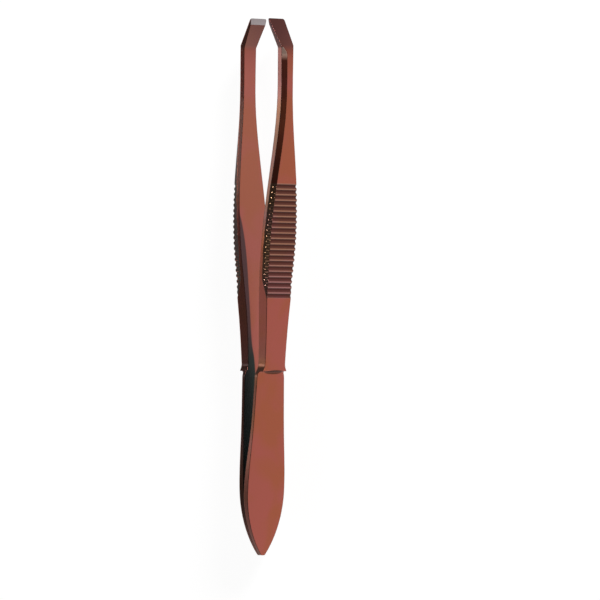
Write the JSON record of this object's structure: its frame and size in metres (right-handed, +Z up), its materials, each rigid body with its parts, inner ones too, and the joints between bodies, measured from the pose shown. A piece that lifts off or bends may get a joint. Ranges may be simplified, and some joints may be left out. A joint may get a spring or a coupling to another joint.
{
  "type": "claw-tip tweezers",
  "caption": "Claw-tip tweezers: two sprung steel arms welded together at a leaf-shaped tail, with grooved finger grips and bent-in, flat-ground tips, lying on their side.",
  "frame": {"origin": "centre of the bounding box at its base, on the surface that the tweezers lie on", "axes": "+X along the tweezers from the tail to the tips, +Y from the right arm to the left arm, +Z up, square to the surface they lie on"},
  "size_m": [0.095, 0.0108, 0.0099],
  "materials": {
    "coated_steel": "thin copper-brown coating over polished steel, bare on the ground flats at the tips"
  },
  "bodies": {
    "root": {"left_arm": "coated_steel", "right_arm": "coated_steel"}
  },
  "joints": []
}
